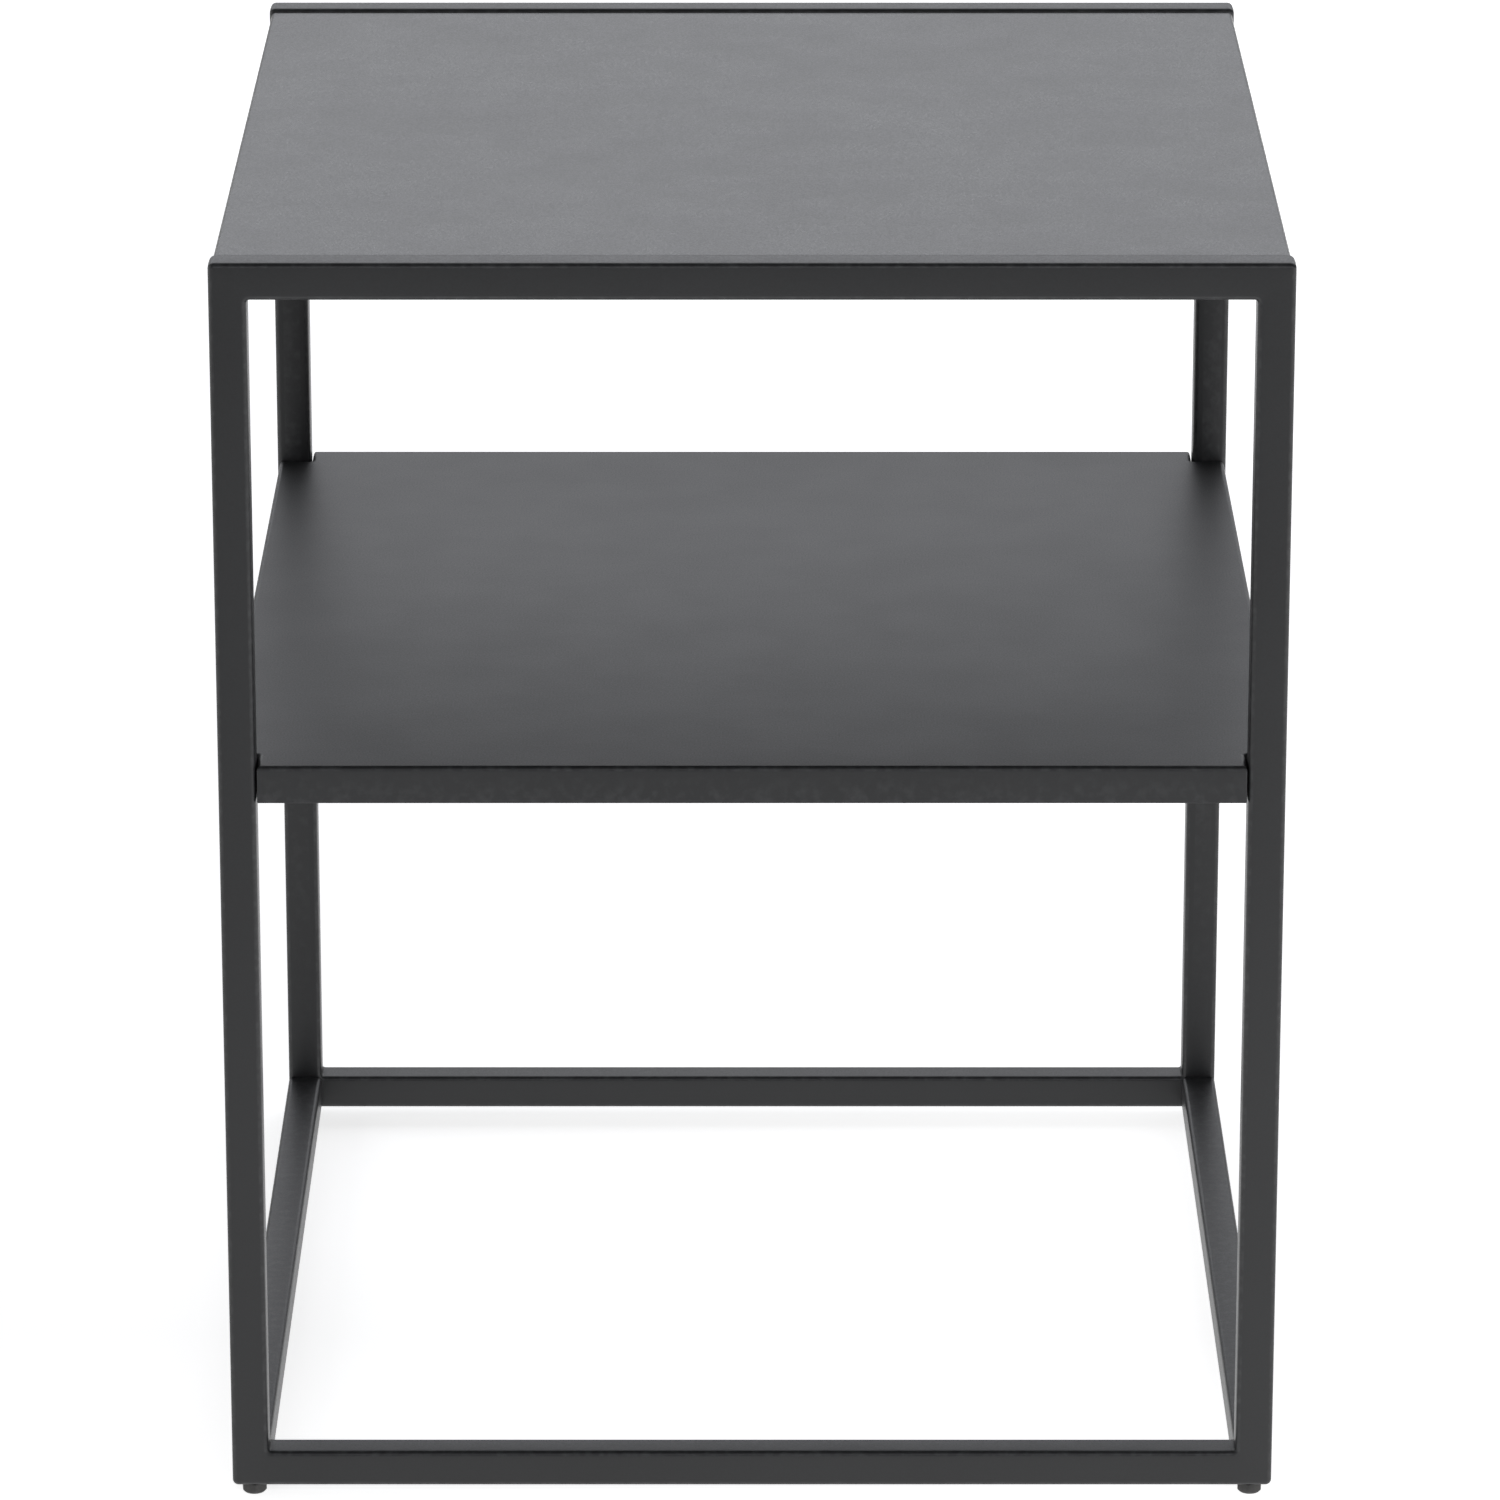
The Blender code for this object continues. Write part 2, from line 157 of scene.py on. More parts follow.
class CoatSettings(bpy.types.PropertyGroup):
    """Charcoal powder coat"""

    colour: FloatVectorProperty(
        name="Colour", description="Body colour of the coat", default=(0.0108, 0.0112, 0.0123),
        subtype="COLOR", min=0.0, max=1.0,
    )
    pale_colour: FloatVectorProperty(
        name="Pale colour", description="Colour where the coat lies thin", default=(0.0170, 0.0176, 0.0189),
        subtype="COLOR", min=0.0, max=1.0,
    )
    # Paler colour along sharp edges: partly wearing of the coat, partly a painted edge highlight.
    rubbed_and_highlight_colour: FloatVectorProperty(
        name="Rubbed colour", description="Colour of the coat along handled edges",
        default=(0.045, 0.046, 0.048), subtype="COLOR", min=0.0, max=1.0,
    )
    gloss_low: FloatProperty(
        name="Smoothest", description="Roughness where the coat has flowed out", default=0.37,
        subtype="FACTOR", min=0.0, max=1.0,
    )
    gloss_high: FloatProperty(
        name="Roughest", description="Roughness where the coat stays grainy", default=0.49,
        subtype="FACTOR", min=0.0, max=1.0,
    )
    tube_gloss: FloatProperty(
        name="Tube gloss", description="How much smoother the coat flows out on the tubes than on the shelf",
        default=0.03, subtype="FACTOR", min=0.0, max=0.25,
    )
    top_gloss: FloatProperty(
        name="Top gloss", description="How much smoother wiping and use have made the top than the shelf",
        default=0.11, subtype="FACTOR", min=0.0, max=0.25,
    )
    peel: FloatProperty(
        name="Peel size", description="Width of one bump of the coat's fine peel", default=0.0011,
        unit="LENGTH", precision=5,
    )
    peel_height: FloatProperty(
        name="Peel height", description="Height of the fine peel", default=0.00002, unit="LENGTH", precision=6
    )
    flow: FloatProperty(
        name="Flow size", description="Width of the coat's slow swells", default=0.007, unit="LENGTH",
        precision=4,
    )
    flow_height: FloatProperty(
        name="Flow height", description="Height of the slow swells", default=0.00004, unit="LENGTH",
        precision=6,
    )


class HardwareSettings(bpy.types.PropertyGroup):
    """Screws, rivet nuts and levelling feet"""

    head_width: FloatProperty(
        name="Head", description="Diameter of a screw's head", default=0.0076, unit="LENGTH", precision=4
    )
    head_height: FloatProperty(
        name="Head height", description="Height of a screw's head", default=0.0006, unit="LENGTH", precision=4
    )
    socket: FloatProperty(
        name="Socket", description="Hexagon socket across its flats", default=0.0025, unit="LENGTH",
        precision=4,
    )
    socket_depth: FloatProperty(
        name="Socket depth", description="Depth of the hexagon socket", default=0.0013, unit="LENGTH",
        precision=4,
    )
    screw: FloatProperty(
        name="Screw", description="Diameter of the screws' thread", default=0.004, unit="LENGTH", precision=4
    )
    screw_pitch: FloatProperty(
        name="Screw pitch", description="Rise of one turn of the screws' thread", default=0.0007,
        unit="LENGTH", precision=5,
    )
    nut: FloatProperty(
        name="Rivet nut", description="Diameter of the rivet nuts' body", default=0.006, unit="LENGTH",
        precision=4,
    )
    flange: FloatProperty(
        name="Flange", description="Diameter of the rivet nuts' flange", default=0.0085, unit="LENGTH",
        precision=4,
    )
    stud: FloatProperty(
        name="Stud", description="Diameter of the levelling studs", default=0.006, unit="LENGTH", precision=4
    )
    stud_pitch: FloatProperty(
        name="Stud pitch", description="Rise of one turn of the studs' thread", default=0.001, unit="LENGTH",
        precision=4,
    )
    glide: FloatProperty(
        name="Glide", description="Moulded glide across its flats", default=0.0095, unit="LENGTH", precision=4
    )
    clearance: FloatProperty(
        name="Clearance", description="Space between pieces that fit together", default=0.0003, unit="LENGTH",
        precision=4,
    )


class StageSettings(bpy.types.PropertyGroup):
    """Floor, lights and camera"""

    floor_colour: FloatVectorProperty(
        name="Floor", description="Colour of the pale floor", default=(0.86, 0.86, 0.86), subtype="COLOR",
        min=0.0, max=1.0,
    )
    floor_glow: FloatProperty(
        name="Floor glow", description="Light that the floor gives off by itself", default=0.72, min=0.0
    )
    front_glow: FloatProperty(
        name="Front glow", description="Light that the floor gives off just in front of the table",
        default=0.85, min=0.0,
    )
    far_glow: FloatProperty(
        name="Far glow", description="Light that the floor gives off two metres in front", default=0.14,
        min=0.0,
    )
    sky: FloatProperty(name="Surround", description="Brightness of the pale room", default=0.09, min=0.0)
    back_power: FloatProperty(
        name="Back light", description="Power of the wide light behind the table", default=64.0, unit="POWER"
    )
    key_power: FloatProperty(
        name="Key light", description="Power of the low strip of light in front, to the right", default=11.0,
        unit="POWER",
    )
    side_power: FloatProperty(
        name="Side light", description="Power of the soft light at the right", default=16.0, unit="POWER"
    )
    left_power: FloatProperty(
        name="Left light", description="Power of the wide soft light at the left", default=22.0, unit="POWER"
    )
    lens: FloatProperty(
        name="Lens", description="Focal length of the camera", default=198.7, subtype="DISTANCE_CAMERA"
    )
    camera_place: FloatVectorProperty(
        name="Camera", description="Where the camera stands", default=(-0.0008, -3.3129, 1.3261),
        subtype="TRANSLATION", precision=4,
    )
    camera_dip: FloatProperty(
        name="Dip", description="How far the camera looks down", default=radians(18.083), subtype="ANGLE"
    )


class SideTableSettings(bpy.types.PropertyGroup):
    """Everything that can be changed on the table"""

    tube: PointerProperty(type=TubeSettings)
    sheet: PointerProperty(type=SheetSettings)
    coat: PointerProperty(type=CoatSettings)
    hardware: PointerProperty(type=HardwareSettings)
    stage: PointerProperty(type=StageSettings)


# ---------------------------------------------------------------- node helpers
def start_material(name):
    """A material with a Principled shader, its node tree and the pieces' own coordinates in metres."""
    found = bpy.data.materials.get(name)
    if found:
        bpy.data.materials.remove(found)
    material = bpy.data.materials.new(name)
    material.use_nodes = True
    tree = material.node_tree
    shader = tree.nodes["Principled BSDF"]
    place = tree.nodes.new("ShaderNodeTexCoord").outputs["Object"]
    return material, tree, shader, place


def grain(tree, place, size, detail):
    """Soft random pattern whose blotches are about size metres wide, from 0 to 1."""
    pattern = tree.nodes.new("ShaderNodeTexNoise")
    pattern.inputs["Scale"].default_value = 1.0 / size
    pattern.inputs["Detail"].default_value = detail
    tree.links.new(place, pattern.inputs["Vector"])
    return pattern.outputs["Fac"]


def spread(tree, value, low, high, start=0.35, end=0.65):
    """A pattern's middle range spread over low to high."""
    ramp = tree.nodes.new("ShaderNodeMapRange")
    ramp.inputs["From Min"].default_value = start
    ramp.inputs["From Max"].default_value = end
    ramp.inputs["To Min"].default_value = low
    ramp.inputs["To Max"].default_value = high
    tree.links.new(value, ramp.inputs["Value"])
    return ramp.outputs["Result"]


def combine(tree, first, second, operation="ADD"):
    """Two values added, or put together by another operation."""
    step = tree.nodes.new("ShaderNodeMath")
    step.operation = operation
    tree.links.new(first, step.inputs[0])
    tree.links.new(second, step.inputs[1])
    return step.outputs["Value"]


def layered(tree, shares):
    """Patterns added up, each over its own share of the range from 0 to 1."""
    total = None
    for pattern, share in shares:
        part = spread(tree, pattern, 0.0, share)
        total = part if total is None else combine(tree, total, part)
    return total


def blend_colours(tree, factor, first, second):
    """One colour turning into another. The first may be a colour or a colour output."""
    mix = tree.nodes.new("ShaderNodeMix")
    mix.data_type = "RGBA"
    tree.links.new(factor, mix.inputs["Factor"])
    if isinstance(first, bpy.types.NodeSocket):
        tree.links.new(first, mix.inputs["A"])
    else:
        mix.inputs["A"].default_value = (*first, 1.0)
    mix.inputs["B"].default_value = (*second, 1.0)
    return mix.outputs["Result"]


def raise_surface(tree, height, amount, below=None):
    """Bump of a true height in metres, on top of any bump below it."""
    bump = tree.nodes.new("ShaderNodeBump")
    bump.inputs["Distance"].default_value = amount
    tree.links.new(height, bump.inputs["Height"])
    if below:
        tree.links.new(below, bump.inputs["Normal"])
    return bump.outputs["Normal"]


# ---------------------------------------------------------------- finishes
CLOUD, STREAK, SPECK, RUB_AND_HIGHLIGHT = 0.11, 0.03, 0.0007, 0.004  # width of the marks in the powder coat
METAL_CLOUD, TOOL_MARK = 0.003, 0.000008  # width of the clouds in the plating, height of the tool marks
NYLON_CLOUD = 0.004
SPARK_SIZE, SPARK_HEIGHT = 0.00025, 0.000015  # of the mould's texture
NYLON_DARK, NYLON_PALE = (0.030, 0.029, 0.028), (0.052, 0.050, 0.048)
PLATING = {  # dark colour, pale colour, roughness and size of the tool marks
    "black_zinc_plating": ((0.045, 0.045, 0.050), (0.085, 0.083, 0.080), 0.36, 0.0004),
    "bright_zinc_plating": ((0.52, 0.53, 0.55), (0.66, 0.65, 0.60), 0.28, 0.0004),
    "bare_steel": ((0.30, 0.30, 0.31), (0.42, 0.41, 0.40), 0.40, 0.0005),
}


def powder_coat(name, coat, gloss):
    """Charcoal powder coat: fine peel over slow swells, cloudy colour, and edges a little paler, partly from
    wearing and partly as a painted highlight.
    """
    material, tree, shader, place = start_material(name)
    cloud = grain(tree, place, CLOUD, 3.0)
    streak = grain(tree, place, STREAK, 2.0)
    speck = grain(tree, place, SPECK, 1.0)
    tone = layered(tree, ((cloud, 0.45), (speck, 0.45), (streak, 0.1)))
    colour = blend_colours(tree, tone, coat.colour, coat.pale_colour)

    # Paler patches along sharp edges: partly wearing of the coat, partly a painted edge highlight.
    worn_and_highlit = tree.nodes.new("ShaderNodeAttribute")
    worn_and_highlit.attribute_name = "worn_edge"
    rubbed_and_highlit = spread(tree, grain(tree, place, RUB_AND_HIGHLIGHT, 3.0), 0.1, 0.7, 0.45, 0.7)
    rubbed_and_highlit = combine(tree, rubbed_and_highlit, worn_and_highlit.outputs["Fac"], "MULTIPLY")
    colour = blend_colours(tree, rubbed_and_highlit, colour, coat.rubbed_and_highlight_colour)
    tree.links.new(colour, shader.inputs["Base Color"])

    haze = layered(tree, ((cloud, 0.1), (streak, 0.14), (speck, 0.76)))
    low, high = coat.gloss_low - gloss, coat.gloss_high - gloss
    tree.links.new(spread(tree, haze, low, high, 0.0, 1.0), shader.inputs["Roughness"])

    swell = raise_surface(tree, grain(tree, place, coat.flow, 1.0), coat.flow_height)
    peel = raise_surface(tree, grain(tree, place, coat.peel, 2.0), coat.peel_height, swell)
    tree.links.new(peel, shader.inputs["Normal"])
    shader.inputs["IOR"].default_value = 1.5
    return material


def plated_metal(name, dark, pale, roughness, grain_size):
    """Plated steel with cloudy plating and fine marks from the tools that shaped it."""
    material, tree, shader, place = start_material(name)
    cloud = grain(tree, place, METAL_CLOUD, 3.0)
    fine = grain(tree, place, grain_size, 2.0)
    colour = blend_colours(tree, spread(tree, cloud, 0.0, 1.0), dark, pale)
    tree.links.new(colour, shader.inputs["Base Color"])
    tree.links.new(spread(tree, fine, roughness - 0.06, roughness + 0.1), shader.inputs["Roughness"])
    tree.links.new(raise_surface(tree, fine, TOOL_MARK), shader.inputs["Normal"])
    shader.inputs["Metallic"].default_value = 1.0
    return material


def moulded_nylon(name):
    """Black nylon with a fine spark-eroded mould texture."""
    material, tree, shader, place = start_material(name)
    cloud = grain(tree, place, NYLON_CLOUD, 2.0)
    fine = grain(tree, place, SPARK_SIZE, 2.0)
    colour = blend_colours(tree, spread(tree, cloud, 0.0, 1.0), NYLON_DARK, NYLON_PALE)
    tree.links.new(colour, shader.inputs["Base Color"])
    tree.links.new(spread(tree, fine, 0.46, 0.64), shader.inputs["Roughness"])
    tree.links.new(raise_surface(tree, fine, SPARK_HEIGHT), shader.inputs["Normal"])
    return material


def finish_called(name):
    """One of the table's finishes, made the first time it is wanted."""
    made = bpy.data.materials.get(name)
    if made:
        return made
    coat = bpy.context.scene.side_table.coat
    gloss = {"tube_powder_coat": coat.tube_gloss, "top_powder_coat": coat.top_gloss, "shelf_powder_coat": 0.0}
    if name in gloss:
        return powder_coat(name, coat, gloss[name])
    if name == "moulded_nylon":
        return moulded_nylon(name)
    return plated_metal(name, *PLATING[name])


# ---------------------------------------------------------------- mesh helpers
def middle_of(node):
    """Middle of a CAD node's box."""
    low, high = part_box(node)
    return (low + high) / 2


def loft(rings, looped):
    """Mesh skinned over rings of equal point counts in order, with its ends capped or joined."""
    bm = bmesh.new()
    loops = [[bm.verts.new(point) for point in ring] for ring in rings]
    pairs = list(zip(loops, loops[1:]))
    if looped:
        pairs.append((loops[-1], loops[0]))
    else:
        bm.faces.new(loops[0])
        bm.faces.new(reversed(loops[-1]))
    for near, far in pairs:
        for i in range(len(near)):
            bm.faces.new((near[i], near[i - 1], far[i - 1], far[i]))
    return bm


def place_piece(name, bm, finish, body, replaced):
    """Turn a bmesh into a piece that stands for CAD nodes, rides on a body and takes a finish."""
    bmesh.ops.recalc_face_normals(bm, faces=bm.faces)
    mesh = bpy.data.meshes.new(name)
    bm.to_mesh(mesh)
    bm.free()
    piece = bpy.data.objects.new(name, mesh)
    bpy.context.scene.collection.objects.link(piece)
    mesh.materials.append(finish_called(finish))
    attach(piece, body)
    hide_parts(*replaced)
    return piece


def cut_holes(piece, holes):
    """Drill round holes, each given as its centre, its direction, its diameter and its whole length."""
    bm = bmesh.new()
    for centre, direction, diameter, length in holes:
        turn = Vector(direction).to_track_quat("Z", "Y").to_matrix().to_4x4()
        bmesh.ops.create_cone(
            bm, cap_ends=True, segments=DRILL_SEGMENTS, radius1=diameter / 2, radius2=diameter / 2,
            depth=length, matrix=Matrix.Translation(centre) @ turn,
        )
    mesh = bpy.data.meshes.new("drills")
    bm.to_mesh(mesh)
    bm.free()
    drills = bpy.data.objects.new("drills", mesh)
    bpy.context.scene.collection.objects.link(drills)
    cut = piece.modifiers.new("holes", "BOOLEAN")
    cut.operation = "DIFFERENCE"
    cut.solver = "EXACT"
    cut.object = drills
    drilled = bpy.data.meshes.new_from_object(piece.evaluated_get(bpy.context.evaluated_depsgraph_get()))
    piece.modifiers.clear()
    piece.data = drilled
    bpy.data.objects.remove(drills, do_unlink=True)
    if not drilled.polygons:
        raise RuntimeError(f"{piece.name} was lost while drilling")


def smooth_edges(piece):
    """Smooth shading that keeps flat faces flat, with drilled edges left crisp."""
    piece.data.shade_smooth()
    piece.data.set_sharp_from_angle(angle=CREASE)
    even = piece.modifiers.new("even_shading", "WEIGHTED_NORMAL")
    even.keep_sharp = True


def mark_worn_and_highlit_edges(piece, paling):
    """Store how sharply the surface turns at each point, so the finish can turn paler there, partly as
    wearing through and partly as a painted edge highlight.
    """
    least, most = paling
    bm = bmesh.new()
    bm.from_mesh(piece.data)
    layer = bm.verts.layers.float.new("worn_edge")
    for vert in bm.verts:
        turn = (vert.calc_shell_factor() - least) / (most - least)
        vert[layer] = min(1.0, max(0.0, turn))
    bm.to_mesh(piece.data)
    bm.free()


def rounded_outline(corners, radius, inset, steps):
    """Right-angled outline, counter-clockwise, moved inwards by inset, with its corners rounded."""
    points = []
    count = len(corners)
    for i, corner in enumerate(corners):
        here = Vector(corner)
        before = (here - Vector(corners[i - 1])).normalized()
        after = (Vector(corners[(i + 1) % count]) - here).normalized()
        turn = 1 if before.cross(after) > 0 else -1
        normal_in = Vector((-before.y, before.x))
        normal_out = Vector((-after.y, after.x))
        reach = radius - turn * inset
        if turn > 0:
            reach = max(reach, SHARPEST)
        centre = here + (turn * reach + inset) * (normal_in + normal_out)
        for step in range(steps + 1):
            angle = step * pi / 2 / steps
            points.append(centre - turn * reach * (normal_in * cos(angle) + normal_out * sin(angle)))
    return points


def square(half):
    """Corners of a square, counter-clockwise."""
    return [(half, -half), (half, half), (-half, half), (-half, -half)]


def turned(profile, segments, looped=False):
    """Mesh turned about Z. Each profile entry is a radius, or a radius by angle and height, and a height."""
    rings = []
    for radius, height in profile:
        ring = []
        for i in range(segments):
            angle = 2 * pi * i / segments
            reach = radius(angle, height) if callable(radius) else radius
            ring.append((reach * cos(angle), reach * sin(angle), height))
        rings.append(ring)
    return loft(rings, looped)


def hexagon(width, most=inf):
    """Radius of a hexagon by angle, from its width across flats, with its corners turned down to most."""
    return lambda angle, height: min(width / 2 / cos((angle + pi / 6) % (pi / 3) - pi / 6), most)


def thread(diameter, pitch):
    """Radius of a screw thread by angle and height, with flat crests and roots."""
    flank, crest = 2.6, 0.15  # steepness of a flank, and how much of a crest stays flat

    def reach(angle, height):
        phase = (height / pitch - angle / (2 * pi)) % 1.0
        slope = min(1.0, max(0.0, flank * abs(phase - 0.5) - crest))
        return diameter / 2 - THREAD_DEPTH * pitch * slope

    return reach


def threaded_length(diameter, pitch, low, high):
    """Profile entries of a thread, evenly spaced between two heights."""
    reach = thread(diameter, pitch)
    rows = int((high - low) / pitch * THREAD_ROWS)
    return [(reach, low + (high - low) * row / rows) for row in range(rows + 1)]


# ---------------------------------------------------------------- welded frames
def tube_outline(tube, skin):
    """Outline of the square tube, skin metres inside its surface, with faces that swell a little."""
    half = TUBE / 2 - skin
    edges = rounded_outline(square(half - tube.crown), tube.edge - skin, 0.0, tube.steps)
    points = []
    for side in range(4):
        arc = edges[side * (tube.steps + 1):(side + 1) * (tube.steps + 1)]
        points += arc
        start, end = arc[-1], edges[(side + 1) * (tube.steps + 1) % len(edges)]
        outwards = (start + end).normalized()
        for step in range(1, FLAT_POINTS + 1):
            share = step / (FLAT_POINTS + 1)
            swell = tube.crown * 4 * share * (1 - share)
            points.append(start.lerp(end, share) + outwards * swell)
    return points


def ring_path(width, height, inset, centre, steps):
    """Points round a frame at one depth into its tube, with the corner arcs struck from centre."""
    reach = centre - inset
    points = []
    for side_x, side_z, start in ((-1, -1, 0), (1, -1, 1), (1, 1, 2), (-1, 1, 3)):
        for step in range(steps + 1):
            angle = step * pi / 2 / steps
            along, across = cos(angle), sin(angle)
            if start % 2:
                along, across = across, along
            x = side_x * (width / 2 - centre + reach * along)
            z = side_z * (height / 2 - centre + reach * across)
            points.append((x, z))
    return points


def frame_shape(tube, width, height, middle):
    """Outer surface of a welded frame, with its tubes filled."""
    rings = []
    for point in tube_outline(tube, 0.0):
        inset = TUBE / 2 + point.x
        share = min(1.0, max(0.0, (inset - tube.edge) / (TUBE - 2 * tube.edge)))
        centre = tube.corner + share * (TUBE + tube.fillet - tube.corner)
        path = ring_path(width, height, inset, centre, tube.steps)
        rings.append([(x, middle.y + point.y, middle.z + z) for x, z in path])
    return loft(rings, looped=True)


class SIDETABLE_OT_welded_frames(bpy.types.Operator):
    """Build the front and back welded frames"""

    bl_idname = "side_table.welded_frames"
    bl_label = "Welded frames"

    def execute(self, context):
        settings = context.scene.side_table
        tube, hardware = settings.tube, settings.hardware
        for end, side_y in ENDS.items():
            low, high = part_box(f"{end}_bottom_rail")[0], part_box(f"{end}_top_rail")[1]
            low.x, high.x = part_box(f"{end}_left_leg")[0].x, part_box(f"{end}_right_leg")[1].x
            middle = (low + high) / 2
            bm = frame_shape(tube, high.x - low.x, high.z - low.z, middle)
            nodes = [f"{end}_left_leg", f"{end}_right_leg", f"{end}_top_rail", f"{end}_bottom_rail"]
            piece = place_piece(f"{end}_welded_frame", bm, "tube_powder_coat", TABLE, nodes)
            holes = []
            inner_y = middle.y - side_y * TUBE / 2
            for side in SIDES:
                for label in ("top", "shelf"):
                    nut = middle_of(f"{label}_{end}_{side}_rivet_nut")
                    wide = hardware.nut + 2 * hardware.clearance
                    holes.append((Vector((nut.x, inner_y, nut.z)), (0, 1, 0), wide, TUBE))
                stud = middle_of(f"{end}_{side}_foot_stud")
                wide = hardware.stud + 2 * hardware.clearance
                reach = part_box(f"{end}_{side}_foot_stud")[1].z - low.z + hardware.clearance
                holes.append((Vector((stud.x, stud.y, low.z)), (0, 0, 1), wide, 2 * reach))
            cut_holes(piece, holes)
            mark_worn_and_highlit_edges(piece, TUBE_EDGE_PALING)
            smooth_edges(piece)
        return {"FINISHED"}


class SIDETABLE_OT_floor_rails(bpy.types.Operator):
    """Build the two floor rails between the frames"""

    bl_idname = "side_table.floor_rails"
    bl_label = "Floor rails"

    def execute(self, context):
        settings = context.scene.side_table
        tube, hardware = settings.tube, settings.hardware
        for side in SIDES:
            low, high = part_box(f"{side}_side_rail")
            middle = (low + high) / 2
            rings = []
            for skin, ends in ((0.0, (low.y, high.y)), (tube.wall, (high.y, low.y))):
                outline = tube_outline(tube, skin)
                for y in ends:
                    rings.append([(middle.x + p.x, y, middle.z + p.y) for p in outline])
            bm = loft(rings, looped=True)
            piece = place_piece(f"{side}_floor_rail", bm, "tube_powder_coat", TABLE, [f"{side}_side_rail"])
            holes = []
            for end in ENDS:
                screw = middle_of(f"{end}_{side}_rail_screw")
                wide = hardware.screw + 2 * hardware.clearance
                holes.append((Vector((screw.x, screw.y, low.z)), (0, 0, 1), wide, TUBE))
            cut_holes(piece, holes)
            mark_worn_and_highlit_edges(piece, TUBE_EDGE_PALING)
            smooth_edges(piece)
        return {"FINISHED"}


# ---------------------------------------------------------------- folded sheet
def pan_profile(sheet, depth):
    """Inset and height along a pan's skin, from its upper face round the lip to its underside."""
    bend, thick = sheet.bend, sheet.thickness
    nick = thick / 8  # taken off the two edges of the lip's end
    angles = [step * pi / 2 / FOLD_STEPS for step in range(FOLD_STEPS + 1)]
    profile = [(bend * (1 - sin(a)), bend * (cos(a) - 1)) for a in angles]
    profile += [(0.0, nick - depth), (nick, -depth), (thick - nick, -depth), (thick, nick - depth)]
    inner = bend - thick
    profile += [(bend - inner * cos(a), inner * sin(a) - bend) for a in angles]
    return profile


def fold_pan(sheet, corners, top, depth):
    """Folded pan with an even grid of points across its faces, gently out of flat."""
    rings = []
    for inset, height in pan_profile(sheet, depth):
        outline = rounded_outline(corners, sheet.corner, inset, FOLD_STEPS)
        rings.append([(p.x, p.y, top + height) for p in outline])
    bm = loft(rings, looped=False)
    half = [max(c[axis] for c in corners) for axis in (0, 1)]
    for axis in (0, 1):
        count = int(half[axis] / sheet.cell)
        for i in range(-count, count + 1):
            point = Vector()
            point[axis] = i * half[axis] / (count + 1)
            normal = Vector()
            normal[axis] = 1.0
            parts = bm.verts[:] + bm.edges[:] + bm.faces[:]
            bmesh.ops.bisect_plane(bm, geom=parts, dist=1e-6, plane_co=point, plane_no=normal)
    for vert in bm.verts:
        inside = min(half[0] - abs(vert.co.x), half[1] - abs(vert.co.y))
        share = min(1.0, max(0.0, (inside - sheet.corner) / sheet.wave_length * 2))
        swell = noise.noise(Vector((vert.co.x, vert.co.y, top)) / sheet.wave_length)
        vert.co.z += sheet.wave * share * share * (3 - 2 * share) * swell
    return bm


class SIDETABLE_OT_top(bpy.types.Operator):
    """Build the folded top"""

    bl_idname = "side_table.folded_top"
    bl_label = "Folded top"

    def execute(self, context):
        settings = context.scene.side_table
        low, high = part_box("top_panel")
        corners = [(high.x, low.y), (high.x, high.y), (low.x, high.y), (low.x, low.y)]
        bm = fold_pan(settings.sheet, corners, high.z, high.z - low.z)
        piece = place_piece("folded_top", bm, "top_powder_coat", TABLE, ["top_panel"])
        finish_panel(piece, "top", settings.hardware)
        return {"FINISHED"}


class SIDETABLE_OT_shelf(bpy.types.Operator):
    """Build the folded shelf, notched around the legs"""

    bl_idname = "side_table.folded_shelf"
    bl_label = "Folded shelf"

    def execute(self, context):
        settings = context.scene.side_table
        low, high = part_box("shelf_panel")
        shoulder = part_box("top_panel")[1].y
        tongue = -LEG_HIGH.x - settings.sheet.notch_gap
        quarter = [(high.x, shoulder), (tongue, shoulder), (tongue, high.y)]
        corners = quarter + [(-x, y) for x, y in reversed(quarter)]
        corners += [(-x, -y) for x, y in corners]
        bm = fold_pan(settings.sheet, corners, high.z, high.z - low.z)
        piece = place_piece("folded_shelf", bm, "shelf_powder_coat", TABLE, ["shelf_panel"])
        finish_panel(piece, "shelf", settings.hardware)
        return {"FINISHED"}


def finish_panel(piece, label, hardware):
    """Drill a panel's lips for its four screws and prepare its edges."""
    holes = []
    for end, side_y in ENDS.items():
        for side in SIDES:
            screw = middle_of(f"{label}_{end}_{side}_screw")
            place = Vector((screw.x, side_y * (-LEG_HIGH.y), screw.z))
            holes.append((place, (0, 1, 0), hardware.screw + 2 * hardware.clearance, TUBE))
    cut_holes(piece, holes)
    mark_worn_and_highlit_edges(piece, SHEET_EDGE_PALING)
    smooth_edges(piece)


# ---------------------------------------------------------------- fasteners
def stand_up(piece, node, direction, above):
    """Move a fastener made along +Z to its CAD node's place. Its own z = 0 is above metres below its top."""
    low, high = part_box(node)
    turn = Vector(direction).to_track_quat("Z", "Y").to_matrix().to_4x4()
    middle = (low + high) / 2
    half = abs((high - low).dot(Vector(direction))) / 2
    piece.matrix_world = Matrix.Translation(middle + Vector(direction) * (half - above)) @ turn


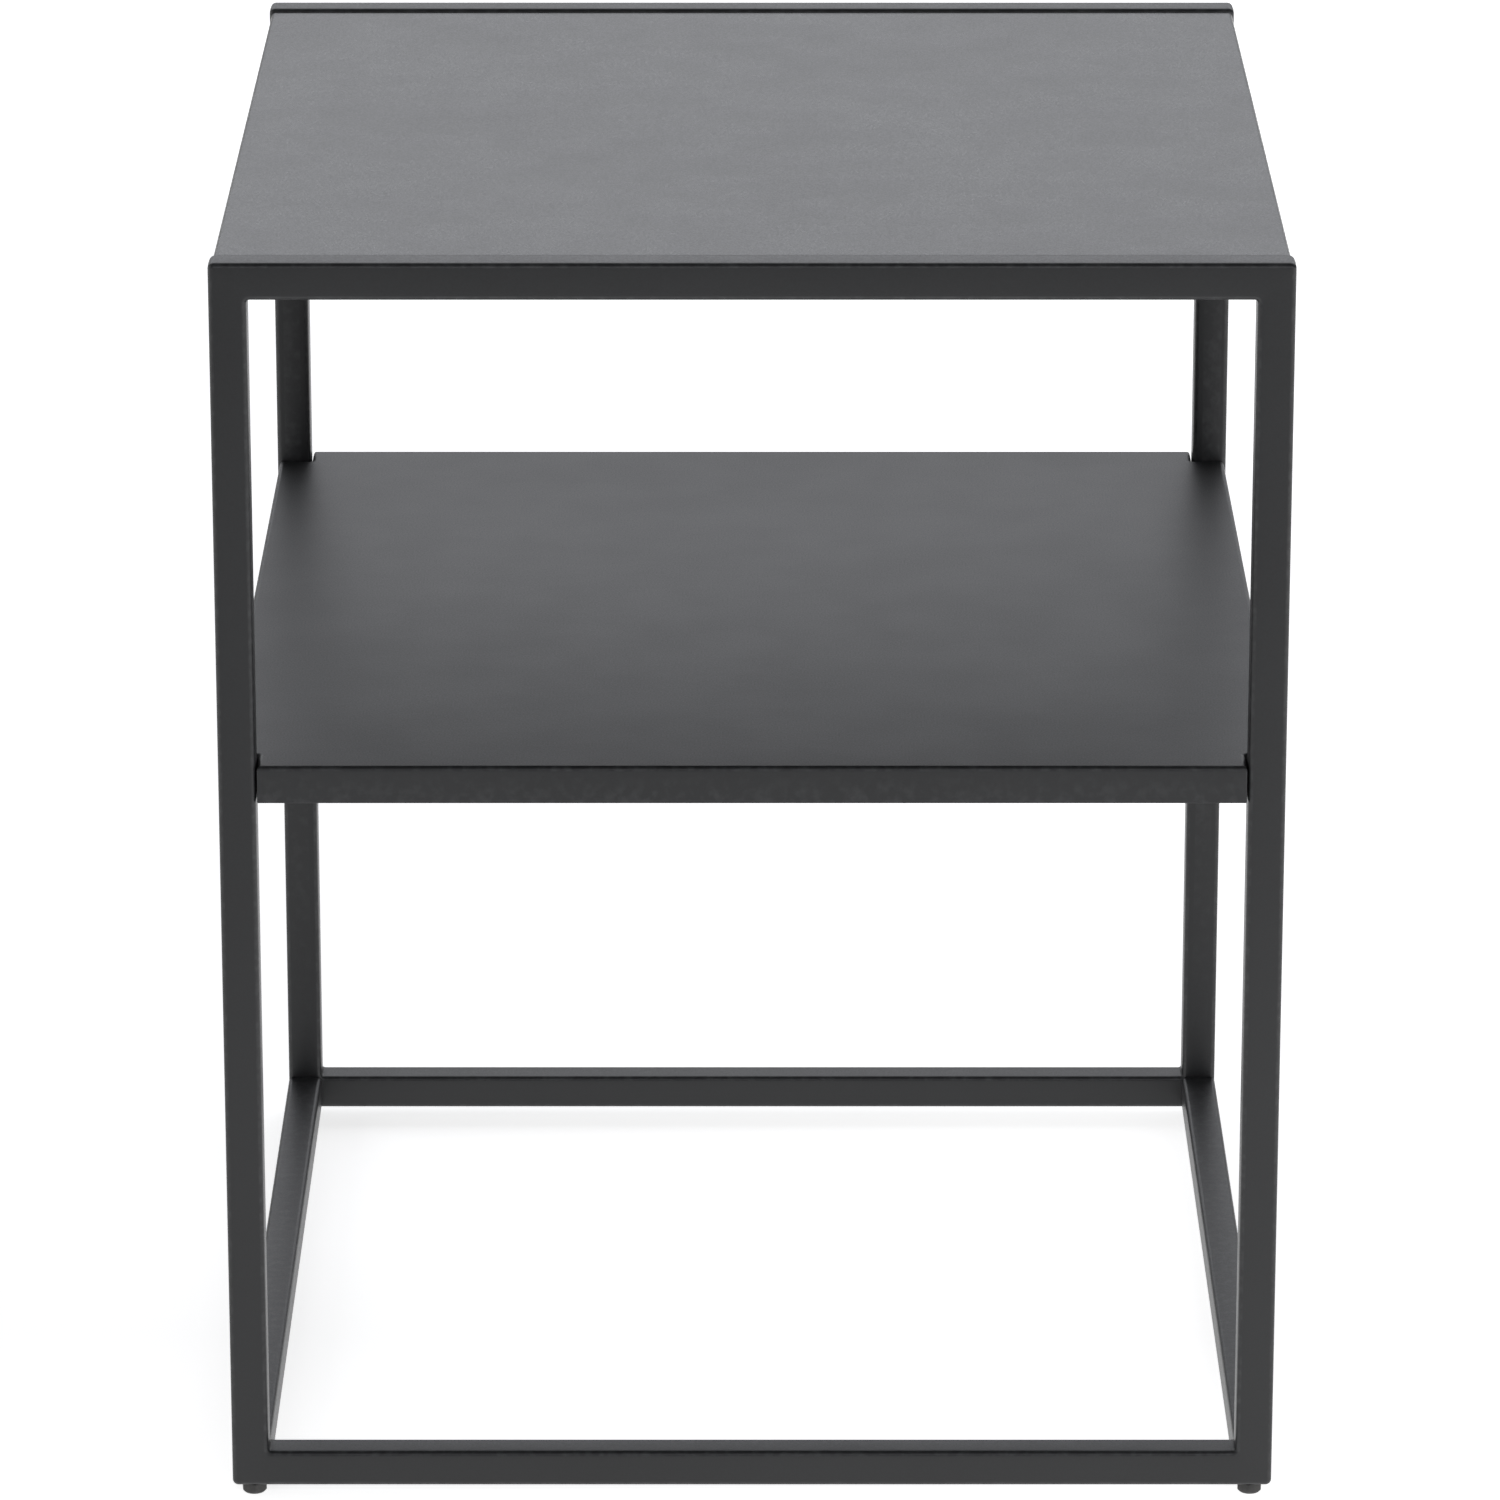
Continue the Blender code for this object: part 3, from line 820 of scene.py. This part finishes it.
def screw_shape(hardware, length):
    """Button-head socket screw with its head's underside at z = 0."""
    head, tall, socket = hardware.head_width / 2, hardware.head_height, hardware.socket
    shank = hardware.screw / 2
    root = shank - THREAD_DEPTH * hardware.screw_pitch
    rim, flat = tall * 0.18, head * 0.55  # the dome springs from the rim and ends at the flat
    plain, run_out = 0.0006, 0.0003  # length left unthreaded below the head, and where the thread fades out
    lead = 0.0002  # the thread starts this far above the screw's end
    floor = tall - hardware.socket_depth
    profile = [(root * 0.9, -length)]
    profile += threaded_length(hardware.screw, hardware.screw_pitch, lead - length, -plain - run_out)
    profile += [(shank, -plain), (shank, 0.0), (head - BREAK, 0.0), (head, BREAK)]
    for step in range(DOME_STEPS + 1):
        angle = step * pi / 2 / DOME_STEPS
        profile.append((flat + (head - flat) * cos(angle), rim + (tall - rim) * sin(angle)))
    profile.append((socket / 2 * 1.22, tall))
    profile.append((hexagon(socket), tall - 0.00022))
    profile += [(hexagon(socket), floor), (socket * 0.2, floor - 0.00025)]
    return turned(profile, TURNED_SEGMENTS)


def nut_shape(hardware, wall, length, above):
    """Rivet nut with the tube's face at z = 0 and its flange above."""
    body, flange = hardware.nut / 2, hardware.flange / 2
    bore = hardware.screw / 2 + hardware.clearance
    gap = hardware.clearance
    bulge = body + 0.0006
    behind = -wall - gap  # where the nut has swelled behind the tube's wall
    profile = [
        (bore + CHAMFER, above), (flange - BREAK, above), (flange, above - BREAK), (flange, gap + BREAK),
        (flange - BREAK, gap), (body, gap), (body, behind), (bulge, behind - 0.0004),
        (bulge, behind - 0.0016), (body, behind - 0.0020), (body, above + CHAMFER - length),
        (body - CHAMFER, above - length), (bore, above - length), (bore, above - CHAMFER),
    ]
    return turned(profile, TURNED_SEGMENTS, looped=True)


class SIDETABLE_OT_screws(bpy.types.Operator):
    """Build the twelve button-head screws"""

    bl_idname = "side_table.screws"
    bl_label = "Screws"

    def execute(self, context):
        hardware = context.scene.side_table.hardware
        for end, side_y in ENDS.items():
            for side in SIDES:
                places = {f"{label}_{end}_{side}_screw": (0, -side_y, 0) for label in ("top", "shelf")}
                places[f"{end}_{side}_rail_screw"] = (0, 0, -1)
                for node, direction in places.items():
                    low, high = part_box(node)
                    length = abs((high - low).dot(Vector(direction))) - hardware.head_height
                    bm = screw_shape(hardware, length)
                    piece = place_piece(f"{node}_finished", bm, "black_zinc_plating", TABLE, [node])
                    stand_up(piece, node, direction, hardware.head_height)
                    smooth_edges(piece)
        return {"FINISHED"}


class SIDETABLE_OT_rivet_nuts(bpy.types.Operator):
    """Build the eight rivet nuts in the tubes"""

    bl_idname = "side_table.rivet_nuts"
    bl_label = "Rivet nuts"

    def execute(self, context):
        settings = context.scene.side_table
        for end, side_y in ENDS.items():
            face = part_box(f"{end}_left_leg")[0 if side_y > 0 else 1].y
            for side in SIDES:
                for label in ("top", "shelf"):
                    node = f"{label}_{end}_{side}_rivet_nut"
                    low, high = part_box(node)
                    above = abs((low.y if side_y > 0 else high.y) - face)
                    bm = nut_shape(settings.hardware, settings.tube.wall, high.y - low.y, above)
                    piece = place_piece(f"{node}_finished", bm, "bright_zinc_plating", TABLE, [node])
                    stand_up(piece, node, (0, -side_y, 0), above)
                    smooth_edges(piece)
        return {"FINISHED"}


# ---------------------------------------------------------------- levelling feet
def corner_angle(node, centre):
    """Direction of a hexagon's corner in plan, from its CAD node."""
    verts = frame["nodes"][node].data.vertices
    far = max((vert.co - centre for vert in verts), key=lambda v: round(v.xy.length, 6))
    return atan2(far.y, far.x)


def glide_shape(hardware, height, socket_floor):
    """Moulded hexagon glide, with a shallow dish and a sprue mark underneath and a socket on top."""
    width = hardware.glide
    tip = width / 2 / cos(pi / 6) - 0.00012  # the corners are a little blunt
    bore = hardware.stud / 2 + hardware.clearance
    # outwards over the sprue mark and the dish, up the sides, then in over the top and down into the socket
    profile = [
        (0.0004, 0.00022), (0.0007, 0.00025), (0.00075, 0.00045), (0.0024, 0.00045), (0.0027, 0.00035),
        (0.0030, 0.00008), (0.0032, 0.0), (hexagon(width, width / 2 - 0.0009), 0.0),
        (hexagon(width, width / 2 - 0.0006), 0.00008), (hexagon(width, width / 2 + 0.0001), 0.0008),
        (hexagon(width, width / 2 + 0.0003), 0.00115), (hexagon(width - 0.00002, tip), 0.0018),
        (hexagon(width, tip), height - 0.00035), (hexagon(width - 0.0002, tip - 0.0001), height - BREAK),
        (hexagon(width - 0.0006, tip - 0.0003), height), (bore + CHAMFER, height), (bore, height - CHAMFER),
        (bore, socket_floor),
    ]
    return turned(profile, GLIDE_SEGMENTS)


def stud_shape(hardware, low, neck, high):
    """Levelling stud: plain below the neck, threaded above it, with a turned-down tip."""
    full = hardware.stud / 2
    root = full - THREAD_DEPTH * hardware.stud_pitch
    chamfer = 0.0003
    relief = 0.0004  # plain length at either end of the thread
    profile = [(full - chamfer, low), (full, low + chamfer), (full, neck)]
    tip = high - relief
    profile += threaded_length(hardware.stud, hardware.stud_pitch, neck + relief, tip - chamfer)
    profile += [(root, tip), (root - chamfer, high)]
    return turned(profile, TURNED_SEGMENTS)


class SIDETABLE_OT_levelling_feet(bpy.types.Operator):
    """Build the four levelling feet: moulded glides on threaded studs"""

    bl_idname = "side_table.levelling_feet"
    bl_label = "Levelling feet"

    def execute(self, context):
        hardware = context.scene.side_table.hardware
        for corner in CORNERS:
            body = f"{corner}_foot"
            glide_node, stud_node = f"{corner}_foot_glide", f"{corner}_foot_stud"
            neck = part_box(glide_node)[1].z
            stud_low, stud_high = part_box(stud_node)
            centre = (stud_low + stud_high) / 2
            place = Vector((centre.x, centre.y, 0.0))
            turn = Matrix.Rotation(corner_angle(glide_node, centre) + pi / 6, 4, "Z")
            bm = glide_shape(hardware, neck, stud_low.z - hardware.clearance)
            glide = place_piece(f"{corner}_levelling_glide", bm, "moulded_nylon", body, [glide_node])
            glide.matrix_world = Matrix.Translation(place) @ turn
            bm = stud_shape(hardware, stud_low.z, neck, stud_high.z)
            stud = place_piece(f"{corner}_levelling_stud", bm, "bright_zinc_plating", body, [stud_node])
            stud.matrix_world = Matrix.Translation(place) @ turn
            for piece in (glide, stud):
                smooth_edges(piece)
        return {"FINISHED"}


class SIDETABLE_OT_inner_metal(bpy.types.Operator):
    """Give the spigots and threaded blocks inside the tubes their finish"""

    bl_idname = "side_table.inner_metal"
    bl_label = "Inner metal"

    def execute(self, context):
        for corner in CORNERS:
            finishes = {f"{corner}_spigot": "tube_powder_coat", f"{corner}_foot_block": "bare_steel"}
            for node, finish in finishes.items():
                piece = frame["nodes"][node]
                piece.data.materials.clear()
                piece.data.materials.append(finish_called(finish))
        return {"FINISHED"}


# ---------------------------------------------------------------- stage
COOL, WHITE = (0.94, 0.955, 1.0), (1.0, 1.0, 1.0)
LIGHTS = {  # place, point aimed at, width and height, colour
    "back": ((0.2, 3.0, 2.3), (0.0, 0.0, 0.4), (5.0, 3.2), COOL),
    "key": ((0.5, -2.4, 1.5), (0.1, 0.0, 0.4), (2.4, 0.3), COOL),
    "side": ((2.8, -2.0, 1.2), (0.0, 0.0, 0.3), (2.4, 2.0), WHITE),
    "left": ((-3.0, -0.2, 1.5), (0.0, 0.0, 0.4), (3.8, 2.4), WHITE),
}
FLOOR_REACH = 14.0
FAR_AHEAD, JUST_AHEAD = -1.9, -0.6  # in front of the table the floor's glow rises over this stretch
FRONT_EDGE, UNDERNEATH = -0.26, -0.05  # and changes to the glow under the table over this one; by default the glow dips there, a painted shade under the table
FADE_START, FADE_END = 3.0, 3.8  # distance from the table where the floor's glow goes over to white
DIM_LEFT, BRIGHT_RIGHT = (-0.4, 0.9), (0.6, 1.25)  # place across, and share of the glow there: painted light, dimmer at the left and brighter at the right
SENSOR_WIDTH = 36.0  # millimetres
NEAREST, FARTHEST = 0.05, 60.0  # what the camera sees lies between these


def add_light(name, place, target, size, power, tint):
    """Soft rectangular light aimed at a point, unseen by the camera."""
    lamp = bpy.data.lights.new(name, "AREA")
    lamp.shape = "RECTANGLE"
    lamp.size, lamp.size_y = size
    lamp.energy = power
    lamp.color = tint
    light = bpy.data.objects.new(name, lamp)
    light.location = place
    light.rotation_euler = (Vector(target) - Vector(place)).to_track_quat("-Z", "Y").to_euler()
    light.visible_camera = False
    bpy.context.scene.collection.objects.link(light)


def floor_finish_with_painted_glow(stage):
    """Plain pale floor, faintly uneven in tone, that gives off painted light of its own: brighter at the
    right and just in front of the table, dipping a little underneath it as painted shade, dim far ahead and
    white far off.
    """
    material, tree, shader, place = start_material("pale_floor")
    tone = spread(tree, grain(tree, place, 0.4, 2.0), 0.0, 1.0)
    pale = tuple(stage.floor_colour)
    soft = tuple(0.985 * part for part in pale)
    tree.links.new(blend_colours(tree, tone, soft, pale), shader.inputs["Base Color"])
    shader.inputs["Roughness"].default_value = 0.9
    shader.inputs["Specular IOR Level"].default_value = 0.1
    parts = tree.nodes.new("ShaderNodeSeparateXYZ")
    tree.links.new(place, parts.inputs["Vector"])
    along, across = parts.outputs["Y"], parts.outputs["X"]
    ahead = spread(tree, along, stage.far_glow, stage.front_glow, FAR_AHEAD, JUST_AHEAD)
    # Painted shade: the floor's glow changes under the table, by default dipping there.
    below = spread(tree, along, 0.0, stage.floor_glow - stage.front_glow, FRONT_EDGE, UNDERNEATH)
    away = tree.nodes.new("ShaderNodeVectorMath")
    away.operation = "LENGTH"
    tree.links.new(place, away.inputs[0])
    beyond = spread(tree, away.outputs["Value"], 0.0, 1.0 - stage.far_glow, FADE_START, FADE_END)
    # Painted light: the floor glows more at the right than at the left.
    painted_light_sideways = spread(tree, across, DIM_LEFT[1], BRIGHT_RIGHT[1], DIM_LEFT[0], BRIGHT_RIGHT[0])
    glow = combine(tree, combine(tree, ahead, below), beyond)
    glow = combine(tree, glow, painted_light_sideways, "MULTIPLY")
    # Painted light: the floor glows by itself though it is no lamp.
    tree.links.new(glow, shader.inputs["Emission Strength"])
    shader.inputs["Emission Color"].default_value = (1.0, 1.0, 1.0, 1.0)
    return material


class SIDETABLE_OT_stage(bpy.types.Operator):
    """Set up the pale floor with its painted glow, the soft lights and the camera"""

    bl_idname = "side_table.stage"
    bl_label = "Floor, lights and camera"

    def execute(self, context):
        scene = context.scene
        stage = scene.side_table.stage
        bm = bmesh.new()
        bmesh.ops.create_grid(bm, x_segments=8, y_segments=8, size=FLOOR_REACH)
        mesh = bpy.data.meshes.new("pale_floor")
        bm.to_mesh(mesh)
        bm.free()
        floor = bpy.data.objects.new("pale_floor", mesh)
        mesh.materials.append(floor_finish_with_painted_glow(stage))
        scene.collection.objects.link(floor)

        world = bpy.data.worlds.new("pale_room")
        world.use_nodes = True
        room = world.node_tree.nodes["Background"]
        room.inputs["Color"].default_value = (1.0, 1.0, 1.0, 1.0)
        room.inputs["Strength"].default_value = stage.sky
        scene.world = world

        for name, (place, target, size, tint) in LIGHTS.items():
            add_light(f"{name}_light", place, target, size, getattr(stage, f"{name}_power"), tint)

        lens = bpy.data.cameras.new("camera")
        lens.lens = stage.lens
        lens.sensor_width = SENSOR_WIDTH
        lens.clip_start, lens.clip_end = NEAREST, FARTHEST
        camera = bpy.data.objects.new("camera", lens)
        camera.location = stage.camera_place
        camera.rotation_euler = (pi / 2 - stage.camera_dip, 0.0, 0.0)
        scene.collection.objects.link(camera)
        scene.camera = camera
        scene.view_settings.view_transform = "Standard"
        return {"FINISHED"}


# ---------------------------------------------------------------- sidebar
class SIDETABLE_PT_panel(bpy.types.Panel):
    """The table's settings and build steps"""

    bl_idname = "SIDETABLE_PT_panel"
    bl_label = "Side table"
    bl_space_type = "VIEW_3D"
    bl_region_type = "UI"
    bl_category = "Side table"

    def draw(self, context):
        settings = context.scene.side_table
        for label, group in (
            ("Tube", settings.tube), ("Sheet", settings.sheet), ("Powder coat", settings.coat),
            ("Hardware", settings.hardware), ("Stage", settings.stage),
        ):
            box = self.layout.box()
            box.label(text=label)
            for name in group.__annotations__:
                box.prop(group, name)
        column = self.layout.column()
        for operator in OPERATORS:
            column.operator(operator.bl_idname)


GROUPS = (TubeSettings, SheetSettings, CoatSettings, HardwareSettings, StageSettings, SideTableSettings)
OPERATORS = (
    SIDETABLE_OT_welded_frames, SIDETABLE_OT_floor_rails, SIDETABLE_OT_top, SIDETABLE_OT_shelf,
    SIDETABLE_OT_screws, SIDETABLE_OT_rivet_nuts, SIDETABLE_OT_levelling_feet, SIDETABLE_OT_inner_metal,
    SIDETABLE_OT_stage,
)
CLASSES = (*GROUPS, *OPERATORS, SIDETABLE_PT_panel)


def register():
    for item in CLASSES:
        bpy.utils.register_class(item)
    bpy.types.Scene.side_table = PointerProperty(type=SideTableSettings)


def unregister():
    del bpy.types.Scene.side_table
    for item in reversed(CLASSES):
        bpy.utils.unregister_class(item)


def clear_scene():
    """Remove what the file opened with, keeping the loaded frame."""
    kept = set(frame["nodes"].values()) | set(frame["bodies"].values())
    for item in list(bpy.context.scene.objects):
        if item not in kept:
            bpy.data.objects.remove(item, do_unlink=True)


def main():
    """Build every piece in order."""
    clear_scene()
    register()
    bpy.ops.side_table.welded_frames()
    bpy.ops.side_table.floor_rails()
    bpy.ops.side_table.folded_top()
    bpy.ops.side_table.folded_shelf()
    bpy.ops.side_table.screws()
    bpy.ops.side_table.rivet_nuts()
    bpy.ops.side_table.levelling_feet()
    bpy.ops.side_table.inner_metal()
    bpy.ops.side_table.stage()


if __name__ == "__main__":
    main()
